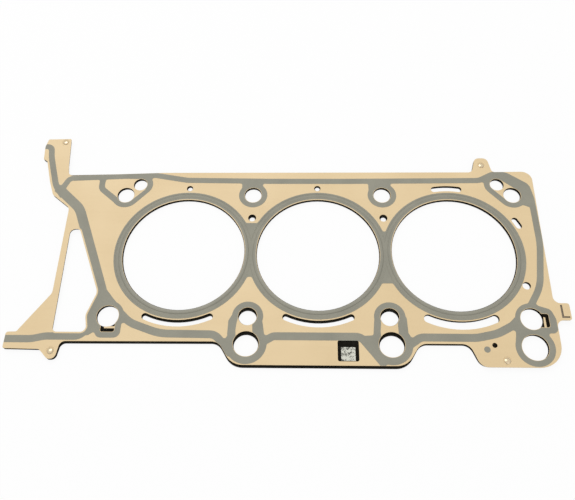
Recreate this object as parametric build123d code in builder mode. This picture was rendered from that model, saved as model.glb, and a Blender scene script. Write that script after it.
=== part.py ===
from build123d import *

import os

# Multi-layer steel cylinder head gasket for one bank of a V6 engine.
# The middle cylinder's axis is the Z axis, the crankshaft runs along X, and Z = 0 is the
# steel face towards the block. The long straight edge is at +Y, the chain cover at -X.
# All sizes are in millimetres.

# Cylinders and head bolts
bore_pitch = 106.0
bore_radius = 48.5
bolt_row = 53.0  # from the cylinder line to each row of head bolts
bolt_radius = 6.8
dowel_radius = 8.4
dowel_places = [(0.4, -0.4), (-1.4, -0.8)]  # from the left and right front bolts' places

# Steel sheets and coatings
active_thickness = 0.25
distance_thickness = 1.5
bolt_clearance = 0.25  # how much wider the active layers' bolt holes are
stopper_thickness = 0.12
stopper_inset = 0.3  # from the bore's edge to the ring
stopper_gap = 0.3  # from the ring to the bead's foot
print_thickness = 0.08

# Embossed beads of the active layers, pressed towards the distance layer
bead_height = 0.4
bead_foot = 1.7  # half of the bead's width at the sheet
bead_crest = 1.0  # half of the bead's flat crest
bore_bead_offset = 4.2  # from the bore's edge to the bead's crest line

# Oil drain, coolant and vent holes
drain_radius = 9.6
drain_drop = 21.2  # from the front bolts' row to the drains beside them
drain_spread = 0.4  # how far each of those drains lies outwards of its bolt
end_drain_radius = 9.7
end_drain_place = (-2.4, -22.6)  # from the right front bolt's place
feed_radius = 5.6  # the smaller hole beside each end bolt at the back
feed_offset = (11.0, 10.2)
vent_radius = 2.6
vent_row = 59.3
web_vent_radius = 3.2
web_vent_row = 31.4
end_vent_radius = 3.1
end_vent_place = (-1.0, 25.8)  # from the right front bolt's place
narrow_jacket = (56.2, 61.4)  # inner and outer radius of the curved coolant slots
wide_jacket = (56.1, 62.5)
back_jacket = (56.9, 61.8)
jacket_half_angle = 24.5
back_slot_half_angle = 9.7
side_slot_start = 24.3
side_slot_sweep = 5.5

# Elastomer print
print_margin = 0.3  # bare steel between the print and any edge
bore_margin = 1.5  # the same at the bores
opening_margin = 1.2  # the same at the opening beside the strut
band_width = 5.0
front_band_width = 6.0
foot_band_width = 5.6
chain_band_width = 8.0
bore_band_width = 5.3
bolt_band_width = 4.6
drain_band_width = 5.4
dowel_band_width = 3.5
end_drain_band_width = 4.3
print_blend = 1.6  # radius where two bands run into each other
web_fill_width = 11.0
web_reaches = [(26.6, 20.8), (19.0, 25.8)]  # how far the print fills each web, back and front
neck_height = 8.4
necks = [(-9.5, 7.8), (-10.7, 7.6)]  # left and right limits of the print behind each back bolt

# Window over the identification label, and the small marks of the top layer
window_size = (15.5, 15.7)
window_place = (-31.5, -26.1)  # from the right middle front bolt's place
label_size = (10.4, 10.2)
label_drop = 2.2
label_thickness = 0.05
witness_radius = 1.9
tab_slot_size = (1.5, 9.6)
tab_slot_foot = (5.8, 1.3)

# Rivets that hold the sheets together
rivet_radius = 1.1
rivet_clearance = 0.05
rivet_head_radius = 2.3
rivet_head_height = 0.75
rivet_head_bevel = 0.5  # height of the head's sloping shoulder
rivet_head_spread = 0.9  # width of that shoulder
rivet_foot_height = 0.3
cup_flat = 2.55  # the pressed cup round each rivet: its flat, then its rim
cup_rim = 3.35

# Dowel-gripping tongues of the top layer
notch_reach = 12.4  # from the dowel's centre to the notch's far wall
notch_width = 10.5
notch_shift = 1.2  # how far the notch's middle lies off the dowel's, on the tongue's root side
notch_corner = 1.5
tongue_width = 1.6
tongue_gap = 2.7

# The distance layer's own holes
inner_bore_step = 0.4  # how far it reaches into each bore
inner_drain_step = 0.5  # how much smaller its drains are
inner_drain_shift = 0.7  # how far its drains lie nearer the front edge
inner_vent_step = 0.5
inner_web_step = 0.9  # the same for the vents in the webs between the bores
inner_web_shift = 0.8
inner_end_step = 0.9  # how far it stands back in the right end's dowel and drain holes
inner_jacket_step = 1.5  # how far it reaches into the narrow coolant slots on the bore's side
inner_wide_step = 0.3

# Edge of the distance layer and the lower active layer, against the upper one's
front_lip = 1.5  # how far they stand out in front, between the middle drains
left_lip = 1.1  # the same for the runs to the left and right of those drains
right_lip = 0.4
tuck = 0.9  # how far they stand back along the ends that carry no drains

# Heights of the stack
distance_floor = active_thickness + bead_height
distance_top = distance_floor + distance_thickness
head_sheet_floor = distance_top + bead_height
head_face = head_sheet_floor + active_thickness
rivet_top = head_face - bead_height
bead_radius = bore_radius + bore_bead_offset

on_floor = (Align.CENTER, Align.CENTER, Align.MIN)

# Places that the outline and the holes are measured from
left = -1.5 * bore_pitch
right = 1.5 * bore_pitch
back_left = Vector(left, bolt_row)
back_right = Vector(right, bolt_row)
front_left = Vector(left, -bolt_row)
front_right = Vector(right, -bolt_row)
front_middles = [Vector(-bore_pitch / 2, -bolt_row), Vector(bore_pitch / 2, -bolt_row)]
back_middles = [Vector(-bore_pitch / 2, bolt_row), Vector(bore_pitch / 2, bolt_row)]
bores = [Vector(-bore_pitch, 0), Vector(0, 0), Vector(bore_pitch, 0)]
dowels = [front_left + dowel_places[0], front_right + dowel_places[1]]
drains = [
    front_middles[0] + (-drain_spread, -drain_drop),
    front_middles[1] + (drain_spread, -drain_drop),
]
end_drain = front_right + end_drain_place
feeds = [
    back_left + feed_offset,
    back_right + (-feed_offset[0], feed_offset[1]),
]
rivets = [
    back_left + (-60.3, 53.8),
    front_left + (-38.3, -27.8),
    back_right + (-21.2, 29.4),
    front_right + (-23.8, -32.7),
]
window = front_middles[1] + window_place
label = window - (0, label_drop)
witness = front_right + (-31.4, -21.2)
print_dot = front_right + (-37.2, -24.4)
tab_slot = front_right + (21.7, 5.6)


def sheet_edge(lower=0):
    """Corners of a sheet's edge, clockwise from the arm, each with its radius.

    Lower is 1 for the two layers under the upper active layer and 0 for that layer itself.
    """
    middle_drop = front_lip * lower
    left_drop = left_lip * lower
    right_drop = right_lip * lower
    back_off = tuck * lower
    return [
        (back_left + (-75.6, 57.0), 1.2),
        (back_left + (-55.7 - back_off, 57.4), 1.2),
        (back_left + (-53.2 - back_off, 30.0), 20.0),
        (back_left + (-51.6 - back_off, 19.1 + back_off), 4.5),
        (back_left + (29.0, 22.0), 40.0),
        (back_right + (-30.0, 22.3), 4.0),
        (back_right + (-26.1, 36.5), 4.6),
        (back_right + (-16.0, 36.5), 4.6),
        (back_right + (-13.3, 22.6), 3.0),
        (back_right + (18.9, 23.0), 8.0),
        (front_right + (16.7, 11.8), 5.0),
        (front_right + (27.9, 11.8), 1.8),
        (front_right + (27.9, -1.8 + back_off), 2.2),
        (front_right + (16.6, -1.7 + back_off), 5.0),
        (front_right + (16.1, -37.5 + back_off), 17.5),
        (front_right + (-42.8, -37.5 + back_off), 8.0),
        (front_right + (-49.5, -20.4 - right_drop), 8.0),
        (front_middles[1] + (21.0, -20.4 - right_drop), 9.0),
        (front_middles[1] + (10.5, -37.1 - middle_drop), 14.0),
        (front_middles[0] + (-10.2, -37.1 - middle_drop), 14.0),
        (front_middles[0] + (-20.8, -19.7 - left_drop), 9.0),
        (front_left + (-32.0, -20.2 - left_drop), 4.5),
        (front_left + (-34.0, -33.7), 4.0),
        (front_left + (-39.6, -33.7), 3.0),
        (front_left + (-46.8, -26.4), 4.0),
        (front_left + (-74.3, -25.9), 1.4),
        (front_left + (-74.3, -13.2), 2.0),
        (front_left + (-66.6, -13.0), 1.5),
        (front_left + (-45.3, 18.1), 7.0),
        (back_left + (-45.6, -12.2), 6.0),
        (back_left + (-61.6, 0.4), 6.0),
        (back_left + (-66.7, 13.8), 20.0),
        (back_left + (-72.7, 33.9), 0.8),
        (back_left + (-76.2, 36.1), 0.6),
        (back_left + (-77.4, 49.3), 5.0),
    ]


def opening_edge(lower=0):
    """Corners of the opening beside the chain-cover strut, each with its radius."""
    back_off = tuck * lower
    return [
        (back_left + (-40.9 - back_off, -32.1 + back_off), 4.4),
        (back_left + (-33.2, -32.1 + back_off), 3.6),
        (front_left + (-10.5, 19.0), 8.0),
        (front_left + (-16.7, 0.3), 8.0),
        (front_left + (-13.9, -13.0), 4.0),
        (front_left + (-39.6 - back_off, -13.0), 3.2),
    ]


def closed_outline(corners, mode=Mode.ADD):
    """Face inside a list of corners, each with its radius."""
    with BuildLine() as edge:
        FilletPolyline(
            *[place for place, radius in corners],
            radius=[radius for place, radius in corners],
            close=True,
        )
    make_face(edge.edges(), mode=mode)


def round_hole(places, radius):
    with Locations(*places):
        Circle(radius, mode=Mode.SUBTRACT)


def curved_slot(bore, limits, start, sweep, grow=0.0, step=0.0):
    """Slot between two circles round one bore. Step moves its inner side outwards."""
    inner, outer = limits
    inner = inner + step
    centre_line = CenterArc(bore, (inner + outer) / 2, start, sweep, mode=Mode.PRIVATE)
    SlotArc(arc=centre_line, height=outer - inner + 2 * grow, mode=Mode.SUBTRACT)


def sheet_holes(clearance=0.0, grow=0.0, inner=0):
    """Cuts every hole that passes through all of the sheets.

    Clearance widens the bolt holes and grow widens everything. Inner is 1 for the distance
    layer, whose holes have their own steps, and 0 for every other layer.
    """
    round_hole(bores, bore_radius + grow - inner_bore_step * inner)
    bolts = [*front_middles, *back_middles, back_left, back_right]
    round_hole(bolts, bolt_radius + clearance + grow)
    drain_shift = inner_drain_shift * inner
    round_hole(
        [place - (0, drain_shift) for place in drains],
        drain_radius + grow - inner_drain_step * inner,
    )
    round_hole([dowels[0]], dowel_radius + grow)
    round_hole([dowels[1]], dowel_radius + grow + inner_end_step * inner)
    round_hole([end_drain], end_drain_radius + grow + inner_end_step * inner)
    round_hole(feeds, feed_radius + grow)
    round_hole(
        [bores[0] + (0, vent_row), bores[1] + (0, vent_row)],
        vent_radius + grow - inner_vent_step * inner,
    )
    web_row = web_vent_row - inner_web_shift * inner
    round_hole(
        [(-bore_pitch / 2, web_row), (bore_pitch / 2, web_row)],
        web_vent_radius + grow - inner_web_step * inner,
    )
    round_hole([front_right + end_vent_place], end_vent_radius + grow)
    jackets = [
        (bores[0], narrow_jacket, inner_jacket_step),
        (bores[1], narrow_jacket, inner_jacket_step),
        (bores[2], wide_jacket, inner_wide_step),
    ]
    start = 270 - jacket_half_angle
    for bore, limits, step in jackets:
        curved_slot(bore, limits, start, 2 * jacket_half_angle, grow, step * inner)
    start = 90 - back_slot_half_angle
    curved_slot(bores[2], back_jacket, start, 2 * back_slot_half_angle, grow)
    curved_slot(bores[2], back_jacket, side_slot_start, side_slot_sweep, grow)


def dowel_notches(grow=0.0):
    """Cuts the notch beside each dowel hole: below the left one, right of the right one."""
    depth = notch_reach + grow
    width = notch_width + 2 * grow
    with Locations(dowels[0] + (notch_shift, -depth / 2)):
        RectangleRounded(width, depth, notch_corner + grow, mode=Mode.SUBTRACT)
    with Locations(dowels[1] + (depth / 2, -notch_shift)):
        RectangleRounded(depth, width, notch_corner + grow, mode=Mode.SUBTRACT)


def dowel_tongues():
    """Springy tongue across each notch, held at one end and free at the other."""
    reach = notch_reach - tongue_gap - tongue_width / 2
    root = 0.5  # how far the tongue runs into the sheet at its held end
    length = notch_width - tongue_gap + 2 * root
    middle = notch_shift + tongue_gap / 2 + root
    with Locations(dowels[0] + (middle, -reach)):
        Rectangle(length, tongue_width)
    with Locations(dowels[1] + (reach, -middle)):
        Rectangle(tongue_width, length)


def active_profile(lower):
    """Blank of an active layer. The upper one alone has the window and the tongues."""
    closed_outline(sheet_edge(lower))
    closed_outline(opening_edge(lower), mode=Mode.SUBTRACT)
    if not lower:
        dowel_notches()
        dowel_tongues()
        with Locations(window):
            RectangleRounded(*window_size, 1.5, mode=Mode.SUBTRACT)
        with Locations(tab_slot):
            Rectangle(*tab_slot_size, mode=Mode.SUBTRACT)
        foot_shift = (tab_slot_foot[0] - tab_slot_size[0]) / 2
        with Locations(tab_slot + (foot_shift, -tab_slot_size[1] / 2)):
            Rectangle(*tab_slot_foot, mode=Mode.SUBTRACT)
        round_hole([witness], witness_radius)
    sheet_holes(clearance=bolt_clearance)
    round_hole(rivets, rivet_radius + rivet_clearance)


def band(points, radii, width=band_width):
    """Printed band along a line of points, rounded at each inner point."""
    with BuildLine() as centre:
        FilletPolyline(*points, radius=radii)
    trace(centre.edges(), line_width=width)


def print_rings():
    """Rings of print round the bores, the bolt holes, the drains and the dowels."""
    with Locations(*bores):
        Circle(bore_radius + bore_margin + bore_band_width)
    # The webs between the rings are filled, further on one side of each than on the other
    half = web_fill_width / 2
    for web, (back_reach, front_reach) in zip((-bore_pitch / 2, bore_pitch / 2), web_reaches):
        for reach in (back_reach, -front_reach):
            fill((web - half, reach), (web + half, reach), (web, 0.4 * reach))
    bolt_band = bolt_radius + print_margin + bolt_band_width
    for place, (neck_left, neck_right) in zip(back_middles, necks):
        with Locations(place):
            Circle(bolt_band)
            with Locations(((neck_left + neck_right) / 2, bolt_band - neck_height / 4)):
                Rectangle(neck_right - neck_left, neck_height)
    with Locations(dowels[0]):
        Circle(dowel_radius + print_margin + dowel_band_width)
        with Locations((1.6, -7.0)):
            RectangleRounded(19.2, 20.0, 5.0)
    with Locations(dowels[1]):
        Circle(dowel_radius + print_margin + dowel_band_width)
    with Locations(end_drain):
        Circle(end_drain_radius + print_margin + end_drain_band_width)
    closed_outline(
        [
            (dowels[1] + (3.4, 11.3), 2.0),
            (dowels[1] + (15.0, 7.4), 5.0),
            (dowels[1] + (17.6, -0.1), 6.0),
            (dowels[1] + (17.6, -11.1), 4.0),
            (dowels[1] + (2.4, -11.1), 2.0),
        ],
    )
    fill(
        dowels[1] + (-12.6, -3.5),
        dowels[1] + (-13.6, -12.5),
        end_drain + (-14.0, 2.0),
        end_drain,
        dowels[1],
    )


def hull_of(first, first_radius, second, second_radius, mode=Mode.ADD):
    """Face wrapped round two neighbouring circles."""
    with BuildSketch() as wrap:
        with Locations(first):
            Circle(first_radius)
        with Locations(second):
            Circle(second_radius)
        make_hull()
    add(wrap.sketch, mode=mode)


def fill(*points, mode=Mode.ADD):
    """Solid patch of print where several bands meet."""
    with BuildLine() as edge:
        Polyline(*points, close=True)
    make_face(edge.edges(), mode=mode)


def perimeter_bands():
    """Bands along the back edge, the right end and the runs beside the front drains."""
    band(
        [
            back_left + (-55.2, 5.0),
            back_left + (-50.0, 16.4),
            back_left + (22.0, 19.6),
            back_left + (50.0, 14.5),
            back_middles[0] + (13.0, 13.5),
            back_middles[1] + (-33.0, 13.4),
            back_right + (-25.0, 14.2),
            back_right + (-13.0, 20.5),
            back_right + (-3.0, 20.0),
            back_right + (13.0, 9.0),
            back_right + (15.0, -3.0),
            back_right + (15.0, -45.0),
            front_right + (9.0, 25.0),
            front_right + (-1.0, 9.0),
        ],
        [5.0, 30.0, 30.0, 60.0, 60.0, 12.0, 8.0, 8.0, 6.0, 20.0, 80.0, 40.0],
    )
    band(
        [
            front_middles[1] + (11.0, -23.0),
            front_middles[1] + (21.5, -15.6),
            front_right + (-43.5, -15.7),
            front_right + (-28.0, -12.4),
            front_right + (-16.0, -6.0),
            front_right + (-8.0, 2.0),
        ],
        [8.0, 30.0, 30.0, 15.0],
        front_band_width,
    )
    band(
        [
            front_middles[0] + (9.0, -21.5),
            front_middles[0] + (19.5, -15.4),
            front_middles[1] + (-22.0, -15.4),
            front_middles[1] + (-5.0, -37.0),
        ],
        [6.0, 8.0],
        front_band_width,
    )
    band(
        [
            front_left + (7.0, 4.5),
            front_left + (17.5, -5.5),
            front_left + (41.0, -13.9),
            front_middles[0] + (-23.5, -14.3),
            front_middles[0] + (-11.0, -29.0),
        ],
        [25.0, 40.0, 9.0],
        front_band_width,
    )


def chain_cover_bands():
    """Bands of the chain-cover end: the arm, the broad diagonal and the foot."""
    band(
        [
            back_left + (-78.5, 49.2),
            back_left + (-71.8, 49.4),
            back_left + (-69.6, 37.5),
            back_left + (-60.6, 9.0),
            back_left + (-53.0, -1.0),
        ],
        [4.5, 30.0, 25.0],
    )
    band(
        [
            back_left + (-58.0, 6.8),
            back_left + (-36.6, -13.0),
            front_left + (-7.2, 20.0),
            front_left + (-3.0, 4.0),
        ],
        [20.0, 40.0],
        chain_band_width,
    )
    band(
        [
            front_left + (-75.0, -18.6),
            front_left + (-54.0, -18.6),
            front_left + (-44.5, -16.4),
            front_left + (-19.0, -16.4),
            front_left + (-11.0, -9.0),
        ],
        [25.0, 25.0, 8.0],
        foot_band_width,
    )
    fill(
        front_left + (-9.0, 19.0),
        front_left + (-19.0, 1.0),
        front_left + (-17.0, -13.0),
        front_left + (-17.0, -16.0),
        front_left + (-12.0, -15.5),
        front_left + (-8.5, -13.0),
        front_left + (1.0, -7.0),
        front_left + (9.0, 7.0),
        front_left + (2.5, 14.0),
        front_left + (-2.9, 20.5),
    )


def drain_keyhole(place, drain, outer, inner):
    """Print round a front bolt and the drain beside it, joined by two limbs.

    Outer and inner are the corners of the limbs' sides, measured from the bolt's place.
    """
    with Locations(place):
        Circle(bolt_radius + print_margin + bolt_band_width)
    with Locations(drain):
        Circle(drain_radius + print_margin + drain_band_width)
    fill(*[place + corner for corner in outer])
    fill(*[place + corner for corner in inner], mode=Mode.SUBTRACT)


def left_end_loop():
    """Loop at the left end of the back row, which leaves its middle bare."""
    bolt_band = bolt_radius + print_margin + bolt_band_width
    feed_band = feed_radius + print_margin + bolt_band_width
    hull_of(back_left, bolt_band, feeds[0], feed_band)
    band(
        [back_left + (-21.5, 18.0), back_left + (-21.5, 6.5), back_left + (-5.0, -7.4)],
        [6.0],
    )
    closed_outline(
        [
            (back_left + (-19.1, 15.9), 4.0),
            (back_left + (-19.1, 7.9), 5.0),
            (back_left + (-1.5, -6.9), 0.5),
            (back_left + (6.2, -4.0), 0.5),
            (back_left + (15.7, 5.5), 0.5),
            (back_left + (16.0, 11.0), 0.5),
            (back_left + (10.0, 15.9), 0.5),
        ],
        mode=Mode.SUBTRACT,
    )


def right_end_loop():
    """Loop at the right end of the back row. The corner outside it is solid."""
    fill(
        feeds[1] + (-4.0, 9.0),
        feeds[1] + (0, 11.0),
        back_right + (-3.0, 20.5),
        back_right + (13.0, 9.0),
        back_right + (15.0, -3.0),
        back_right + (13.0, -11.5),
        back_right + (7.5, -9.4),
        back_right,
        feeds[1],
    )
    bolt_band = bolt_radius + print_margin + bolt_band_width
    feed_band = feed_radius + print_margin + bolt_band_width
    hull_of(back_right, bolt_band, feeds[1], feed_band)
    bolt_bare = bolt_radius + print_margin
    feed_bare = feed_radius + print_margin
    hull_of(back_right, bolt_bare, feeds[1], feed_bare, mode=Mode.SUBTRACT)


def print_pattern():
    """The whole print before it is cut back from the holes and the edges."""
    left_end_loop()
    right_end_loop()
    fill(
        front_middles[1] + (-22.0, -14.9),
        front_middles[1] + (-9.0, -14.0),
        front_middles[1] + (-9.0, -30.0),
    )
    fill(
        front_right + (-17.0, -5.0),
        front_right + (-8.0, -2.0),
        front_right + (-8.0, -18.0),
        front_right + (-13.0, -14.0),
    )
    print_rings()
    perimeter_bands()
    drain_keyhole(
        front_middles[0],
        drains[0],
        [(-9, 6), (-14.2, -3.5), (-14.5, -14), (-9, -24), (9, -24), (12.6, -13), (11.6, -6), (9, 6)],
        [(-7.0, 0), (-8.1, -6), (-8.6, -11), (-8.2, -16), (4.3, -16), (3.8, -7), (5.4, 0)],
    )
    drain_keyhole(
        front_middles[1],
        drains[1],
        [(-9, 6), (-11.7, -3), (-12.7, -14), (-9, -24), (9, -24), (12.9, -13), (12.5, -1), (9, 6)],
        [(-6.6, 0), (-6.8, -6), (-7.4, -11), (-7.2, -16), (5.9, -16), (5.7, -6), (6.2, 0)],
    )
    chain_cover_bands()


def distance_profile():
    """Blank of the distance layer, with its own reach into the holes."""
    closed_outline(sheet_edge(lower=1))
    closed_outline(opening_edge(lower=1), mode=Mode.SUBTRACT)
    sheet_holes(inner=1)
    round_hole(rivets, rivet_radius + rivet_clearance)


def print_profile(lower):
    """Print of one face, with bare steel left round every edge and hole."""
    print_pattern()
    offset(amount=print_blend)
    offset(amount=-print_blend)
    with BuildSketch() as bare_opening:
        closed_outline(opening_edge(lower))
        offset(amount=opening_margin)
    with BuildSketch() as printable:
        closed_outline(sheet_edge(lower))
        offset(amount=-print_margin / 2)
        add(bare_opening.sketch, mode=Mode.SUBTRACT)
        sheet_holes(clearance=bolt_clearance, grow=print_margin)
        round_hole(bores, bore_radius + bore_margin)
        dowel_notches(grow=print_margin)
    add(printable.sketch, mode=Mode.INTERSECT)
    with Locations(print_dot):
        Circle(2.3)


def revolved(outline):
    """Solid of revolution about Z from the (radius, height) corners of its half section."""
    with BuildPart() as turned:
        with BuildSketch(Plane.XZ):
            with BuildLine():
                Polyline(*outline, close=True)
            make_face()
        revolve(axis=Axis.Z)
    return turned.part


def bore_beads(face, depth):
    """Embossed beads round the bores, as the volume between a face and the pressed metal."""
    ring = revolved(
        [
            (bead_radius - bead_foot, face),
            (bead_radius - bead_crest, face + depth),
            (bead_radius + bead_crest, face + depth),
            (bead_radius + bead_foot, face),
        ]
    )
    with BuildPart() as beads:
        with Locations(*bores):
            add(ring)
    return beads.part


def rivet_cups(face, depth):
    """Pressed cups that bring a sheet into touch with the distance layer at the rivets."""
    dish = revolved([(0, face), (0, face + depth), (cup_flat, face + depth), (cup_rim, face)])
    with BuildPart() as cups:
        with Locations(*rivets):
            add(dish)
    return cups.part


def emboss(face, thickness, depth):
    """Presses the beads and cups into a flat blank whose outer face is given."""
    for pressed in (bore_beads, rivet_cups):
        add(pressed(face + thickness, depth))
        add(pressed(face, depth), mode=Mode.SUBTRACT)
    with Locations(*rivets):
        Cylinder(rivet_radius + rivet_clearance, 3 * head_face, mode=Mode.SUBTRACT)


def follow_beads(face, coat, depth):
    """Cuts a tall block of print down to a coat that follows the beads under it."""
    with BuildPart() as steel:
        with Locations((0, 0, face + depth / 2)):
            Box(6 * bore_pitch, 4 * bolt_row, abs(depth))
        add(bore_beads(face, depth), mode=Mode.SUBTRACT)
    add(steel.part, mode=Mode.SUBTRACT)
    add(bore_beads(face + coat, depth), mode=Mode.SUBTRACT)


os.makedirs("parts", exist_ok=True)

# Upper embossed active layer, beads and cups pressed down
with BuildPart() as top_active_layer:
    with BuildSketch(Plane.XY.offset(head_sheet_floor)):
        active_profile(lower=0)
    extrude(amount=active_thickness)
    emboss(head_face, -active_thickness, -bead_height)
top_active_layer.part.label = "top_active_layer"
export_step(top_active_layer.part, "parts/top_active_layer.step")

# Elastomer print on the head side
with BuildPart() as top_seal_print:
    with BuildSketch(Plane.XY.offset(head_face - bead_height)):
        print_profile(lower=0)
    extrude(amount=bead_height + print_thickness)
    follow_beads(head_face, print_thickness, -bead_height)
top_seal_print.part.label = "top_seal_print"
export_step(top_seal_print.part, "parts/top_seal_print.step")

# Plain distance layer between the active layers
with BuildPart() as distance_layer:
    with BuildSketch(Plane.XY.offset(distance_floor)):
        distance_profile()
    extrude(amount=distance_thickness)
distance_layer.part.label = "distance_layer"
export_step(distance_layer.part, "parts/distance_layer.step")

# Stopper rings on both faces of the distance layer
with BuildPart() as stopper_rings:
    for floor in (distance_top, distance_floor - stopper_thickness):
        with BuildSketch(Plane.XY.offset(floor)):
            with Locations(*bores):
                Circle(bead_radius - bead_foot - stopper_gap)
                Circle(bore_radius + stopper_inset, mode=Mode.SUBTRACT)
        extrude(amount=stopper_thickness)
stopper_rings.part.label = "stopper_rings"
export_step(stopper_rings.part, "parts/stopper_rings.step")

# Lower embossed active layer, beads and cups pressed up
with BuildPart() as bottom_active_layer:
    with BuildSketch():
        active_profile(lower=1)
    extrude(amount=active_thickness)
    emboss(0, active_thickness, bead_height)
bottom_active_layer.part.label = "bottom_active_layer"
export_step(bottom_active_layer.part, "parts/bottom_active_layer.step")

# Elastomer print on the block side
with BuildPart() as bottom_seal_print:
    with BuildSketch(Plane.XY.offset(-print_thickness)):
        print_profile(lower=1)
    extrude(amount=bead_height + print_thickness)
    follow_beads(0, -print_thickness, bead_height)
bottom_seal_print.part.label = "bottom_seal_print"
export_step(bottom_seal_print.part, "parts/bottom_seal_print.step")

# Rivets through all of the sheets: a domed head above, a flat foot below
with BuildPart() as corner_rivets:
    with Locations(*rivets):
        with Locations((0, 0, bead_height - rivet_foot_height)):
            Cylinder(rivet_head_radius, rivet_foot_height, align=on_floor)
        with Locations((0, 0, bead_height)):
            Cylinder(rivet_radius, rivet_top - bead_height, align=on_floor)
        with Locations((0, 0, rivet_top)):
            Cylinder(rivet_head_radius, rivet_head_height, align=on_floor)
    brims = corner_rivets.edges().filter_by(GeomType.CIRCLE).group_by(Axis.Z)[-1]
    chamfer(brims, rivet_head_bevel, rivet_head_spread)
corner_rivets.part.label = "corner_rivets"
export_step(corner_rivets.part, "parts/corner_rivets.step")

# Label on the distance layer, seen through the window
with BuildPart() as identification_label:
    with BuildSketch(Plane.XY.offset(distance_top)):
        with Locations(label):
            Rectangle(*label_size)
    extrude(amount=label_thickness)
identification_label.part.label = "identification_label"
export_step(identification_label.part, "parts/identification_label.step")
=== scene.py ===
import math

import bmesh
import bpy
from mathutils import Matrix, Vector


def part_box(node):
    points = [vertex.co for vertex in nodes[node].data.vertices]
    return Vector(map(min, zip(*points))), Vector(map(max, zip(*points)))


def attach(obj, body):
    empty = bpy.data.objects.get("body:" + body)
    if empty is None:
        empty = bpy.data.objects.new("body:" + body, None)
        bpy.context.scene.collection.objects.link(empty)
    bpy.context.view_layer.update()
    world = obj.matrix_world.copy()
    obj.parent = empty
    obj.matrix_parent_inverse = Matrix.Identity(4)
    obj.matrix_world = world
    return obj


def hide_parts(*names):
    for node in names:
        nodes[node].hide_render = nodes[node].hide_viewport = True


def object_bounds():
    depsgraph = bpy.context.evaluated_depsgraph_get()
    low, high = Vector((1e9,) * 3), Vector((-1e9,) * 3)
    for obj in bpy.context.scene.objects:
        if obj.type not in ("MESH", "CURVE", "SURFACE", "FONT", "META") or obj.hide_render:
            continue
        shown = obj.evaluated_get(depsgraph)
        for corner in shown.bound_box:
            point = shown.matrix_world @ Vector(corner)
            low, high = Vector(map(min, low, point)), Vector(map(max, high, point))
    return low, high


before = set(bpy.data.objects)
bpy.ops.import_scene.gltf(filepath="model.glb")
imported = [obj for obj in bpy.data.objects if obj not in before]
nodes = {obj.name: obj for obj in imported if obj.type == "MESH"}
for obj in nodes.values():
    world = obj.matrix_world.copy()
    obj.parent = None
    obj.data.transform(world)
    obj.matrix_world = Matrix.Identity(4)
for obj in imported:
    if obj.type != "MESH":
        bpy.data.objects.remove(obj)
cad_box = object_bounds()


# ---------------------------------------------------------------------------
# Lower active layer: spring steel sheet, pressed with beads round every bore.
# It lies on the block. Its blackened face and blanked edges show below the stack.
# ---------------------------------------------------------------------------
class Field:
    """A value that varies over a surface, written like a number in an expression."""

    def __init__(self, recipe, socket):
        self.recipe = recipe
        self.socket = socket

    def _with(self, operation, other, swapped=False):
        pair = (other, self) if swapped else (self, other)
        settings = {"operation": operation}
        return self.recipe.node("ShaderNodeMath", settings, {0: pair[0], 1: pair[1]})

    def __add__(self, other):
        return self._with("ADD", other)

    __radd__ = __add__

    def __sub__(self, other):
        return self._with("SUBTRACT", other)

    def __rsub__(self, other):
        return self._with("SUBTRACT", other, swapped=True)

    def __mul__(self, other):
        return self._with("MULTIPLY", other)

    __rmul__ = __mul__

    def __abs__(self):
        return self.recipe.node("ShaderNodeMath", {"operation": "ABSOLUTE"}, {0: self})

    def __gt__(self, other):
        return self._with("GREATER_THAN", other)


class Recipe:
    """A node tree that is filled from expressions."""

    def __init__(self, tree):
        self.tree = tree
        self.tree.nodes.clear()

    def node(self, kind, settings, values, output=0):
        """Adds a node: its settings first, then its sockets' values or links."""
        made = self.tree.nodes.new(kind)
        for name, value in settings.items():
            setattr(made, name, value)
        for name, value in values.items():
            self.feed(made.inputs[name], value)
        return Field(self, made.outputs[output]) if made.outputs else made

    def feed(self, socket, value):
        if isinstance(value, Field):
            self.tree.links.new(value.socket, socket)
        else:
            socket.default_value = value


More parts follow.
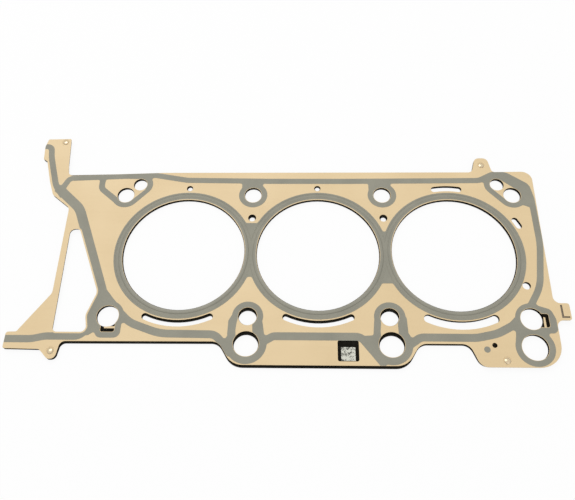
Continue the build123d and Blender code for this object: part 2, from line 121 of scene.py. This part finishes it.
class Finish(Recipe):
    """One surface finish, built round a Principled shader."""

    def __init__(self, name, metallic=0.0, specular=0.5, coat=0.0, coat_roughness=0.1):
        self.material = bpy.data.materials.new(name)
        self.material.use_nodes = True
        super().__init__(self.material.node_tree)
        self.steady = {
            "Metallic": metallic,
            "Specular IOR Level": specular,
            "Coat Weight": coat,
            "Coat Roughness": coat_roughness,
        }
        self.place = self.node("ShaderNodeTexCoord", {}, {}, "Object")

    def noise(self, size, detail=3.0, roughness=0.5, stretch=(1, 1, 1)):
        """Smooth noise whose features are about size metres across."""
        placed = self.node("ShaderNodeMapping", {}, {"Vector": self.place, "Scale": stretch})
        return self.node(
            "ShaderNodeTexNoise",
            {},
            {"Vector": placed, "Scale": 1.0 / size, "Detail": detail, "Roughness": roughness},
            "Fac",
        )

    def blend(self, mask, low, high):
        """Colour between low and high, by a mask from 0 to 1."""
        return self.node(
            "ShaderNodeMix", {"data_type": "RGBA"}, {"Factor": mask, 6: low, 7: high}, 2
        )

    def spread(self, value, low, high, to_low=0.0, to_high=1.0):
        """Stretches a value's range from low..high to another range, and stops at its ends."""
        ends = {"From Min": low, "From Max": high, "To Min": to_low, "To Max": to_high}
        return self.node("ShaderNodeMapRange", {"clamp": True}, {"Value": value, **ends})

    def from_axis(self, x, y=0.0):
        """Distance in metres from an upright axis."""
        centred = self.node(
            "ShaderNodeMapping", {}, {"Vector": self.place, "Location": (-x, -y, 0)}
        )
        level_faces_not_edge_shade = self.node(
            "ShaderNodeVectorMath", {"operation": "MULTIPLY"}, {0: centred, 1: (1, 1, 0)}
        )
        return self.node("ShaderNodeVectorMath", {"operation": "LENGTH"}, {0: level_faces_not_edge_shade}, "Value")

    def levelness(self):
        """1 on a face that lies flat, 0 on a cut edge."""
        facing = self.node("ShaderNodeTexCoord", {}, {}, "Normal")
        return abs(self.node("ShaderNodeSeparateXYZ", {}, {0: facing}, "Z"))

    def relief(self, height, depth):
        """Bump normal from a height field, depth metres deep at height 1."""
        return self.node(
            "ShaderNodeBump", {}, {"Height": height, "Distance": depth, "Strength": 1.0}, "Normal"
        )

    def surface(self, colour, roughness, normal=None):
        """The shader, with this finish's steady values and its varying ones."""
        varying = {"Base Color": colour, "Roughness": roughness}
        if normal is not None:
            varying["Normal"] = normal
        return self.node("ShaderNodeBsdfPrincipled", {}, {**self.steady, **varying}, "BSDF")

    def finished(self, surface):
        self.node("ShaderNodeOutputMaterial", {}, {"Surface": surface})
        return self.material


FINE_RELIEF = 0.00002
COARSE_RELIEF = 0.00003
PULL_TAB_START = 0.177
PULL_TAB_FADE = 0.002


def blackened_steel():
    """Thin black coating, greyer where it is burnished and rubbed off on the pull tab."""
    finish = Finish("blackened_steel", specular=0.06)
    wear = finish.spread(finish.noise(0.003, detail=5.0), 0.55, 0.75)
    grain = finish.noise(0.0006, detail=2.0)
    blackening = finish.blend(
        wear * 0.4, (0.005, 0.004, 0.002, 1.0), (0.024, 0.020, 0.015, 1.0)
    )
    along = finish.node("ShaderNodeSeparateXYZ", {}, {0: finish.place}, "X")
    handled = finish.spread(along, PULL_TAB_START, PULL_TAB_START + PULL_TAB_FADE)
    colour = finish.blend(handled, blackening, (0.260, 0.210, 0.155, 1.0))
    roughness = finish.spread(wear, 0.0, 1.0, 0.62, 0.48)
    relief = finish.relief(grain, FINE_RELIEF)
    return finish.finished(finish.surface(colour, roughness, relief))


def dress(node, material):
    """Gives a solid of the frame its finish."""
    for place in nodes[node].material_slots:
        place.material = material


blackened = blackened_steel()
dress("bottom_active_layer", blackened)


# ---------------------------------------------------------------------------
# Sealing print: grey elastomer, screen printed along the beads and cured.
# It is matt and carries the screen's faint grain; a thin dark line of painted shade runs along the
# beads' inner foot.
# ---------------------------------------------------------------------------
BORE_PITCH = 0.106
BEAD_FOOT_RADIUS = 0.0511
BEAD_FOOT_REACH = 0.0005


def printed_grey(finish, grain):
    """Colour of the print, clouded where the squeegee left it thicker or thinner."""
    clouds = finish.spread(finish.noise(0.018, detail=3.0), 0.3, 0.7)
    base = finish.blend(clouds, (0.315, 0.305, 0.245, 1.0), (0.275, 0.268, 0.218, 1.0))
    return finish.blend(finish.spread(grain, 0.35, 0.75) * 0.3, base, (0.225, 0.216, 0.174, 1.0))


def grey_elastomer():
    finish = Finish("grey_elastomer", specular=0.3)
    grain = finish.noise(0.0007, detail=3.0, roughness=0.6)
    screened = printed_grey(finish, grain)
    # Painted shade: a thin dark ring at each bore bead's inner foot, where the bead's flank falls
    # into shade
    painted_foot_shade = 0.0
    for bore in (-BORE_PITCH, 0.0, BORE_PITCH):
        off_foot = abs(finish.from_axis(bore) - BEAD_FOOT_RADIUS)
        painted_foot_shade = finish.spread(off_foot, 0.0, BEAD_FOOT_REACH, 1.0, 0.0) + painted_foot_shade
    colour = finish.blend(painted_foot_shade * 0.35, screened, (0.130, 0.125, 0.100, 1.0))
    roughness = finish.spread(grain, 0.3, 0.7, 0.58, 0.74)
    relief = finish.relief(grain, COARSE_RELIEF)
    return finish.finished(finish.surface(colour, roughness, relief))


elastomer = grey_elastomer()
dress("bottom_seal_print", elastomer)
dress("top_seal_print", elastomer)


# ---------------------------------------------------------------------------
# Distance layer: plain sheet that sets the clamped thickness, blackened all over.
# Behind each of its front middle bolt holes and drains a crescent of blackened sheet is added. It is
# partly the sheet bowed forward and partly painted shade for the dark gap under the upper sheet.
# ---------------------------------------------------------------------------
dress("distance_layer", blackened)
FRONT_HOLES = [
    # x, y, radius of the hole in the sheet, how far the crescent's inner edge is brought forward
    (-0.0530, -0.0530, 0.0068, 0.0018),
    (0.0530, -0.0530, 0.0068, 0.0018),
    (-0.0534, -0.0749, 0.0091, 0.0012),
    (0.0534, -0.0749, 0.0091, 0.0012),
]
CRESCENT_OVERLAP = 0.00005
CRESCENT_STEPS = 48
CRESCENT_WELD = 0.000005
sheet_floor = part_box("distance_layer")[0][2]
sheet_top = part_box("distance_layer")[1][2]


def hole_crescent(mesh, x, y, radius, forward):
    """Adds the part of the sheet between a hole's wall and the same hole moved forward."""
    wall = radius + CRESCENT_OVERLAP
    level = (radius**2 - wall**2 - forward**2) / (2 * forward)
    outer_start = math.asin(level / wall)
    inner_start = math.asin((level + forward) / radius)
    rows = []
    for step in range(CRESCENT_STEPS + 1):
        share = step / CRESCENT_STEPS
        outer_turn = outer_start + share * (math.pi - 2 * outer_start)
        inner_turn = inner_start + share * (math.pi - 2 * inner_start)
        outer = (x + wall * math.cos(outer_turn), y + wall * math.sin(outer_turn))
        inner = (x + radius * math.cos(inner_turn), y - forward + radius * math.sin(inner_turn))
        rows.append(
            [mesh.verts.new((*spot, z)) for spot in (outer, inner) for z in (sheet_floor, sheet_top)]
        )
    for near, far in zip(rows, rows[1:]):
        for first, second in ((0, 1), (1, 3), (3, 2), (2, 0)):
            mesh.faces.new((near[first], near[second], far[second], far[first]))


# Painted shade: these blackened crescents partly stand for the dark gap between the sheets behind
# the front holes
crescents = bmesh.new()
for hole in FRONT_HOLES:
    hole_crescent(crescents, *hole)
bmesh.ops.remove_doubles(crescents, verts=crescents.verts, dist=CRESCENT_WELD)
bmesh.ops.recalc_face_normals(crescents, faces=crescents.faces)
crescent_mesh = bpy.data.meshes.new("front_hole_crescents")
crescents.to_mesh(crescent_mesh)
crescents.free()
crescent_mesh.materials.append(blackened)
front_crescents_sheet_and_shade = bpy.data.objects.new("front_hole_crescents", crescent_mesh)
bpy.context.scene.collection.objects.link(front_crescents_sheet_and_shade)
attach(front_crescents_sheet_and_shade, "root")


# ---------------------------------------------------------------------------
# Stopper rings: thin bare steel bands, laser welded round each bore.
# They carry the clamping load beside the beads.
# ---------------------------------------------------------------------------
def bare_steel():
    finish = Finish("bare_steel", metallic=1.0)
    clouds = finish.noise(0.002, detail=4.0)
    colour = finish.blend(clouds, (0.50, 0.49, 0.46, 1.0), (0.68, 0.67, 0.64, 1.0))
    roughness = finish.spread(clouds, 0.3, 0.7, 0.28, 0.42)
    relief = finish.relief(clouds, COARSE_RELIEF)
    return finish.finished(finish.surface(colour, roughness, relief))


dress("stopper_rings", bare_steel())


# ---------------------------------------------------------------------------
# Identification label: small square of pale film stuck to the distance layer.
# It shows only random flecks, and nothing that can be read.
# ---------------------------------------------------------------------------
def flecked_film():
    finish = Finish("flecked_film", specular=0.5)
    coarse = finish.noise(0.0016, detail=4.0, roughness=0.7)
    fine = finish.noise(0.0006, detail=2.0)
    flecks = finish.spread(coarse * 0.7 + fine * 0.3, 0.515, 0.545)
    colour = finish.blend(flecks, (0.66, 0.66, 0.57, 1.0), (0.06, 0.06, 0.045, 1.0))
    return finish.finished(finish.surface(colour, 0.45, finish.relief(fine, FINE_RELIEF)))


dress("identification_label", flecked_film())


# ---------------------------------------------------------------------------
# Upper active layer: the sheet that meets the cylinder head.
# Spring steel strip with a baked tan lacquer; the window and tongues are cut in it.
# A thin first pass of the grey print runs to the bores' rims; cut edges are raw steel, painted
# near-black as painted shade.
# ---------------------------------------------------------------------------
FILM_OUTER_RADIUS = 0.0501
FILM_INNER_RADIUS = 0.04885
FILM_OFF_CENTRE = 0.00035
FILM_EDGE = 0.0001


def rim_film(finish):
    """1 where the thin film of print covers the sheet round the bores."""
    covered = 0.0
    for bore in (-BORE_PITCH, 0.0, BORE_PITCH):
        from_middle = finish.from_axis(bore)
        from_print = finish.from_axis(bore, FILM_OFF_CENTRE)
        inside = finish.spread(
            from_middle, FILM_OUTER_RADIUS, FILM_OUTER_RADIUS + FILM_EDGE, 1.0, 0.0
        )
        outside = finish.spread(from_print, FILM_INNER_RADIUS - FILM_EDGE, FILM_INNER_RADIUS)
        covered = inside * outside + covered
    return covered


def tan_lacquer():
    """Baked lacquer on rolled strip: an even tan with faint streaks and a few tiny pits."""
    finish = Finish("tan_lacquer", specular=0.35, coat=0.05, coat_roughness=0.4)
    clouds = finish.spread(finish.noise(0.045, detail=2.0), 0.35, 0.65)
    streaks = finish.spread(finish.noise(0.004, detail=4.0, stretch=(0.06, 1.0, 1.0)), 0.3, 0.7)
    specks = finish.noise(0.0009, detail=2.0)
    pits = specks > 0.71
    tone = clouds * 0.7 + streaks * 0.3
    base = finish.blend(tone, (0.790, 0.612, 0.360, 1.0), (0.745, 0.570, 0.330, 1.0))
    lacquered = finish.blend(pits * 0.18, base, (0.40, 0.29, 0.16, 1.0))
    coated = finish.blend(rim_film(finish), lacquered, printed_grey(finish, specks))
    # Painted shade: cut edges, raw steel in reality, get a near-black brown for the shade they stand
    # in
    level_faces_not_edge_shade = finish.spread(finish.levelness(), 0.3, 0.6)
    colour = finish.blend(level_faces_not_edge_shade, (0.075, 0.058, 0.036, 1.0), coated)
    grain = finish.noise(0.0005, detail=3.0) * 0.5 + streaks * 0.5
    roughness = finish.spread(clouds + specks * 0.4, 0.0, 1.4, 0.46, 0.58)
    relief = finish.relief(grain - pits * 0.6, FINE_RELIEF)
    return finish.finished(finish.surface(colour, roughness, relief))


dress("top_active_layer", tan_lacquer())


# ---------------------------------------------------------------------------
# Rivets: four small steel rivets with domed heads, closed in pressed cups.
# They only hold the stack until the head is bolted down; their heads' steep sides are painted dark
# as shade.
# ---------------------------------------------------------------------------
RIVET_PLACES = [
    (-0.2193, 0.1068, 0.0),
    (-0.1973, -0.0808, 0.0),
    (0.1378, 0.0824, 0.0),
    (0.1352, -0.0857, 0.0),
]
RIVET_SIZES = {
    "Head Radius": 0.0023,
    "Shank Radius": 0.0011,
    "Foot Start": 0.0001,
    "Foot Height": 0.0003,
    "Shank Length": 0.0020,
    "Head Rim": 0.00012,
    "Head Dome": 0.00063,
}
RIVET_FACETS = 40
RIVET_RINGS = 6
RIVET_EDGE_ANGLE = math.radians(40)


def punched_steel():
    """Steel under a thin clear tan lacquer, with painted shade on the heads' steep sides."""
    finish = Finish("punched_steel", metallic=0.6, specular=0.5)
    clouds = finish.noise(0.0012, detail=3.0)
    worn = finish.blend(clouds, (0.72, 0.59, 0.40, 1.0), (0.60, 0.48, 0.31, 1.0))
    # Painted shade: the dome's steep outer slope and rim get a dark brown, while the level crown
    # keeps the lacquer tone
    crown_vs_painted_rim_shade = finish.spread(finish.levelness(), 0.86, 0.93)
    colour = finish.blend(crown_vs_painted_rim_shade, (0.22, 0.17, 0.11, 1.0), worn)
    roughness = finish.spread(clouds, 0.3, 0.7, 0.22, 0.32)
    relief = finish.relief(clouds, FINE_RELIEF)
    return finish.finished(finish.surface(colour, roughness, relief))


def rivet_tree(material):
    """Geometry nodes that set a turned rivet on every point of a mesh."""
    tree = bpy.data.node_groups.new("rivet_row", "GeometryNodeTree")
    tree.interface.new_socket("Geometry", in_out="INPUT", socket_type="NodeSocketGeometry")
    for name in RIVET_SIZES:
        tree.interface.new_socket(name, in_out="INPUT", socket_type="NodeSocketFloat")
    tree.interface.new_socket("Geometry", in_out="OUTPUT", socket_type="NodeSocketGeometry")
    recipe = Recipe(tree)
    size = {name: recipe.node("NodeGroupInput", {}, {}, name) for name in RIVET_SIZES}
    # A unit cylinder with its rings one apart, turned into the rivet's profile ring by ring
    bar = recipe.node(
        "GeometryNodeMeshCylinder",
        {"fill_type": "TRIANGLE_FAN"},
        {
            "Vertices": RIVET_FACETS,
            "Side Segments": RIVET_RINGS - 1,
            "Fill Segments": 8,
            "Radius": 1.0,
            "Depth": RIVET_RINGS - 1.0,
        },
        "Mesh",
    )
    spot = recipe.node("GeometryNodeInputPosition", {}, {})
    x, y, z = (recipe.node("ShaderNodeSeparateXYZ", {}, {0: spot}, axis) for axis in "XYZ")
    ring = z + (RIVET_RINGS - 1) / 2
    on_shank = (ring > 1.5) - (ring > 3.5)
    radius = size["Head Radius"] + on_shank * (size["Shank Radius"] - size["Head Radius"])
    foot = size["Foot Start"] + (ring > 0.5) * size["Foot Height"]
    neck = foot + (ring > 2.5) * size["Shank Length"]
    rim = neck + (ring > 4.5) * size["Head Rim"]
    dome = (ring > 4.5) * size["Head Dome"] * (1.0 - (x * x + y * y))
    turned = recipe.node(
        "ShaderNodeCombineXYZ", {}, {"X": x * radius, "Y": y * radius, "Z": rim + dome}
    )
    rivet = recipe.node("GeometryNodeSetPosition", {}, {"Geometry": bar, "Position": turned})
    places = recipe.node("NodeGroupInput", {}, {}, "Geometry")
    set_in = recipe.node("GeometryNodeInstanceOnPoints", {}, {"Points": places, "Instance": rivet})
    solid = recipe.node("GeometryNodeRealizeInstances", {}, {"Geometry": set_in})
    finished = recipe.node("GeometryNodeSetMaterial", {}, {"Geometry": solid, "Material": material})
    recipe.node("NodeGroupOutput", {}, {"Geometry": finished})
    return tree


rivet_points = bpy.data.meshes.new("rivet_points")
rivet_points.from_pydata(RIVET_PLACES, [], [])
rivets = bpy.data.objects.new("rivets", rivet_points)
bpy.context.scene.collection.objects.link(rivets)
setting = rivets.modifiers.new("setting", "NODES")
setting.node_group = rivet_tree(punched_steel())
for item in setting.node_group.interface.items_tree:
    if item.name in RIVET_SIZES:
        setting[item.identifier] = RIVET_SIZES[item.name]
evaluated = rivets.evaluated_get(bpy.context.evaluated_depsgraph_get())
rivet_mesh = bpy.data.meshes.new_from_object(evaluated)
rivets.modifiers.remove(setting)
rivets.data = rivet_mesh
rivet_mesh.polygons.foreach_set("use_smooth", [True] * len(rivet_mesh.polygons))
rivet_mesh.set_sharp_from_angle(angle=RIVET_EDGE_ANGLE)
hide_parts("corner_rivets")
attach(rivets, "root")


# ---------------------------------------------------------------------------
# Floor and studio: a white matt table under soft, even light.
# ---------------------------------------------------------------------------
FLOOR_DROP = 0.0004
FLOOR_REACH = 6.0
FLOOR_GLOW = 0.92
AMBIENT_LEVEL = 0.60
floor_height = cad_box[0][2] - FLOOR_DROP
floor_mesh = bpy.data.meshes.new("floor")
floor_corners = [
    (-FLOOR_REACH, -FLOOR_REACH, floor_height),
    (FLOOR_REACH, -FLOOR_REACH, floor_height),
    (FLOOR_REACH, FLOOR_REACH, floor_height),
    (-FLOOR_REACH, FLOOR_REACH, floor_height),
]
floor_mesh.from_pydata(floor_corners, [], [(0, 1, 2, 3)])
floor = bpy.data.objects.new("floor", floor_mesh)
bpy.context.scene.collection.objects.link(floor)


def seen_or_mirrored(recipe):
    """1 where a surface is looked at straight, in a mirror or through glass, 0 where it lights."""
    seen = recipe.node("ShaderNodeLightPath", {}, {}, "Is Camera Ray")
    mirrored = recipe.node("ShaderNodeLightPath", {}, {}, "Is Glossy Ray")
    through = recipe.node("ShaderNodeLightPath", {}, {}, "Is Transmission Ray")
    return seen + mirrored + through


paper = Finish("white_paper", specular=0.1)
matt = paper.surface((0.90, 0.90, 0.90, 1.0), 0.9)
glow = paper.node("ShaderNodeEmission", {}, {"Color": (1.0, 1.0, 1.0, 1.0), "Strength": 1.0})
floor_mesh.materials.append(
    paper.finished(
        paper.node(
            "ShaderNodeMixShader", {}, {0: seen_or_mirrored(paper) * FLOOR_GLOW, 1: matt, 2: glow}
        )
    )
)

world = bpy.data.worlds.new("studio")
bpy.context.scene.world = world
world.use_nodes = True
sky = Recipe(world.node_tree)
white = (1.0, 1.0, 1.0, 1.0)
ambient = sky.node("ShaderNodeBackground", {}, {"Color": white, "Strength": AMBIENT_LEVEL})
backdrop = sky.node("ShaderNodeBackground", {}, {"Color": white, "Strength": 1.0})
both = sky.node("ShaderNodeMixShader", {}, {0: seen_or_mirrored(sky), 1: ambient, 2: backdrop})
sky.node("ShaderNodeOutputWorld", {}, {"Surface": both})


def soft_lamp(name, place, size, power):
    """Square soft box that points at the middle of the table."""
    lamp = bpy.data.lights.new(name, "AREA")
    lamp.shape = "SQUARE"
    lamp.size = size
    lamp.energy = power
    holder = bpy.data.objects.new(name, lamp)
    holder.location = place
    holder.rotation_euler = (-Vector(place)).to_track_quat("-Z", "Y").to_euler()
    bpy.context.scene.collection.objects.link(holder)


soft_lamp("key", (-0.5, 0.9, 1.5), 1.2, 14.0)
soft_lamp("fill", (0.9, -1.2, 1.5), 1.4, 5.0)

# The camera stands in front and well above, as over a table. Its turn is in radians about
# X, Y and Z, and its shift in bore pitches, both from the upper sheet's face at the middle bore.
SHEET_HEIGHT = 0.0028
SENSOR_WIDTH = 36.0
FRAME_WIDTH = 575.0
FOCAL_PIXELS = 599.4
TURN_X, TURN_Y, TURN_Z = 2.68154612, 0.0269158509, 0.00289224895
SHIFT_IN_PITCHES = (0.225026081, 0.0212753412, 4.44126030)
shift = Vector(SHIFT_IN_PITCHES) * BORE_PITCH
to_camera = (
    Matrix.Rotation(TURN_Z, 3, "Z")
    @ Matrix.Rotation(TURN_Y, 3, "Y")
    @ Matrix.Rotation(TURN_X, 3, "X")
)
right, down, ahead = to_camera.row
eye = Vector((0.0, 0.0, SHEET_HEIGHT)) - to_camera.transposed() @ shift
camera_data = bpy.data.cameras.new("camera")
camera_data.lens = FOCAL_PIXELS / FRAME_WIDTH * SENSOR_WIDTH
camera_data.sensor_width = SENSOR_WIDTH
camera_data.sensor_fit = "HORIZONTAL"
camera_data.clip_start = 0.01
camera = bpy.data.objects.new("camera", camera_data)
pose = Matrix((right, -down, -ahead)).transposed().to_4x4()
pose.translation = eye
camera.matrix_world = pose
bpy.context.scene.collection.objects.link(camera)
bpy.context.scene.camera = camera
bpy.context.scene.view_settings.view_transform = "Standard"
